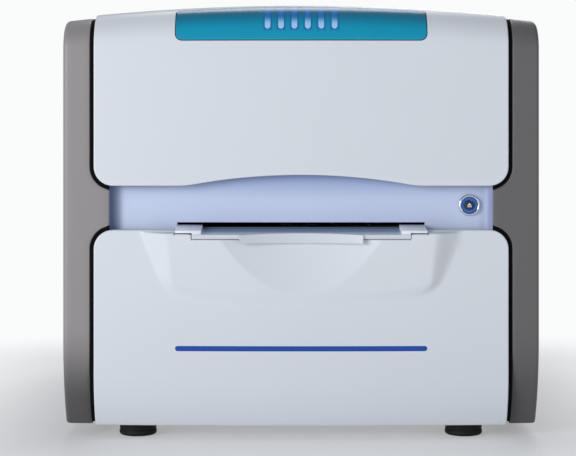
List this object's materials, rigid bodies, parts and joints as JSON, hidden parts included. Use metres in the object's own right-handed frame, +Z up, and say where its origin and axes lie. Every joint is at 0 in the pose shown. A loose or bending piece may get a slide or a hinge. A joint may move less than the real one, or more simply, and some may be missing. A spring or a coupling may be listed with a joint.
{
  "type": "digital slide scanner",
  "caption": "Bench-top slide scanner: arched white covers, grey side panels, front slot with a pull-out slide tray, eject button, lit accent window, moving scan head inside.",
  "frame": {"origin": "on the table, under the middle of the machine", "axes": "+X to the machine's right seen from the front, +Y to its back, +Z up; the front faces -Y"},
  "size_m": [0.401, 0.52, 0.367],
  "materials": {
    "white_shell": "fine moulded satin",
    "waist_shell": "fine moulded satin",
    "grey_panel": "fine textured paint",
    "dark_seal": "matte",
    "teal_window": "gloss, lightly translucent",
    "light_lens": "clear light guide",
    "blue_stripe": "satin inlay",
    "sheet_metal": "powder coat",
    "frame_steel": "zinc-plated sheet",
    "machined_alloy": "machined",
    "black_alloy": "black anodised",
    "rail_steel": "ground",
    "screw_steel": "turned",
    "chrome_ring": "polished",
    "foot_rubber": "matte",
    "black_plastic": "moulded",
    "tray_plastic": "moulded satin",
    "carrier_metal": "bead-blasted",
    "slide_glass": "ground edges",
    "board_green": "solder mask",
    "lit_ring": "lit light guide",
    "cap_dark": "satin"
  },
  "bodies": {
    "housing": {"upper_cover": "white_shell", "lower_front_cover": "white_shell", "accent_window": "teal_window", "status_lenses": "light_lens", "status_light_board": "board_green", "accent_stripe": "blue_stripe", "waist_panel": "waist_shell", "light_seal": "dark_seal", "left_side_panel": "grey_panel", "right_side_panel": "grey_panel", "seam_seals": "dark_seal", "inner_frames": "frame_steel", "base_plate": "machined_alloy", "rear_panel": "sheet_metal", "panel_screws": "screw_steel", "rubber_feet": "foot_rubber", "foot_screws": "screw_steel", "button_bezel": "chrome_ring", "button_light_ring": "lit_ring", "button_body": "black_plastic", "button_nut": "screw_steel", "rail_supports": "machined_alloy", "drawer_rails": "rail_steel", "drawer_motor": "black_alloy", "screw_bracket": "machined_alloy", "stage_rails": "rail_steel", "stage_motor": "black_alloy", "power_supply": "frame_steel", "image_processor": "black_alloy", "controller_board": "board_green", "power_inlet": "black_plastic", "data_sockets": "black_plastic", "switch_housing": "black_plastic", "fan_housing": "black_plastic", "fan_guard": "chrome_ring"},
    "eject_button": {"button_cap": "cap_dark"},
    "rocker": {"power_rocker": "black_plastic"},
    "fan": {"fan_rotor": "black_plastic"},
    "carrier": {"tray_carrier": "carrier_metal", "carrier_blocks": "rail_steel"},
    "tray": {"slide_tray": "tray_plastic", "corner_guides": "tray_plastic", "glass_slides": "slide_glass"},
    "drawer_screw_body": {"drawer_screw": "screw_steel"},
    "stage": {"stage_plate": "machined_alloy", "stage_blocks": "rail_steel", "head_rails": "rail_steel", "head_motor": "black_alloy"},
    "stage_screw_body": {"stage_screw": "screw_steel"},
    "head": {"head_carriage": "machined_alloy", "scan_column": "machined_alloy", "lower_arm": "machined_alloy", "condenser": "black_alloy", "lamp_module": "black_alloy", "upper_arm": "machined_alloy", "camera": "black_alloy", "focus_magnet": "frame_steel"},
    "head_screw_body": {"head_screw": "screw_steel"},
    "focus": {"focus_slide": "machined_alloy", "objective": "chrome_ring"}
  },
  "joints": [
    {"name": "drawer_slide", "type": "slide", "parent": "housing", "child": "carrier", "axis": [0, -1, 0], "range_m": [0, 0.125]},
    {"name": "tray_pull", "type": "slide", "parent": "carrier", "child": "tray", "axis": [0, -1, 0], "range_m": [0, 0.11]},
    {"name": "drawer_screw_turn", "type": "hinge", "parent": "housing", "child": "drawer_screw_body", "pos_m": [-0.135, 0, 0.16], "axis": [0, 1, 0], "range_deg": [-5, 4505]},
    {"name": "stage_slide", "type": "slide", "parent": "housing", "child": "stage", "axis": [0, 1, 0], "range_m": [-0.025, 0.025]},
    {"name": "stage_screw_turn", "type": "hinge", "parent": "housing", "child": "stage_screw_body", "pos_m": [0, 0, 0.036], "axis": [0, 1, 0], "range_deg": [-1805, 1805]},
    {"name": "head_slide", "type": "slide", "parent": "stage", "child": "head", "axis": [1, 0, 0], "range_m": [-0.075, 0.075]},
    {"name": "head_screw_turn", "type": "hinge", "parent": "stage", "child": "head_screw_body", "pos_m": [0, 0.01, 0.064], "axis": [1, 0, 0], "range_deg": [-2705, 2705]},
    {"name": "focus_lift", "type": "slide", "parent": "head", "child": "focus", "axis": [0, 0, 1], "range_m": [-0.003, 0.008]},
    {"name": "eject_press", "type": "slide", "parent": "housing", "child": "eject_button", "axis": [0, 1, 0], "range_m": [0, 0.002], "stiffness_N_per_m": 1200, "springref_m": -0.0005},
    {"name": "rocker_tilt", "type": "hinge", "parent": "housing", "child": "rocker", "pos_m": [-0.078, 0.251, 0.1], "axis": [0, 0, 1], "range_deg": [0, 16]},
    {"name": "fan_spin", "type": "hinge", "parent": "housing", "child": "fan", "pos_m": [0.085, 0.24, 0.25], "axis": [0, 1, 0], "continuous": true}
  ],
  "couplings": [
    {"joint": "drawer_screw_turn", "follows": "drawer_slide", "rad_per_m": 628.32},
    {"joint": "stage_screw_turn", "follows": "stage_slide", "rad_per_m": 1256.6},
    {"joint": "head_screw_turn", "follows": "head_slide", "rad_per_m": 628.32}
  ]
}
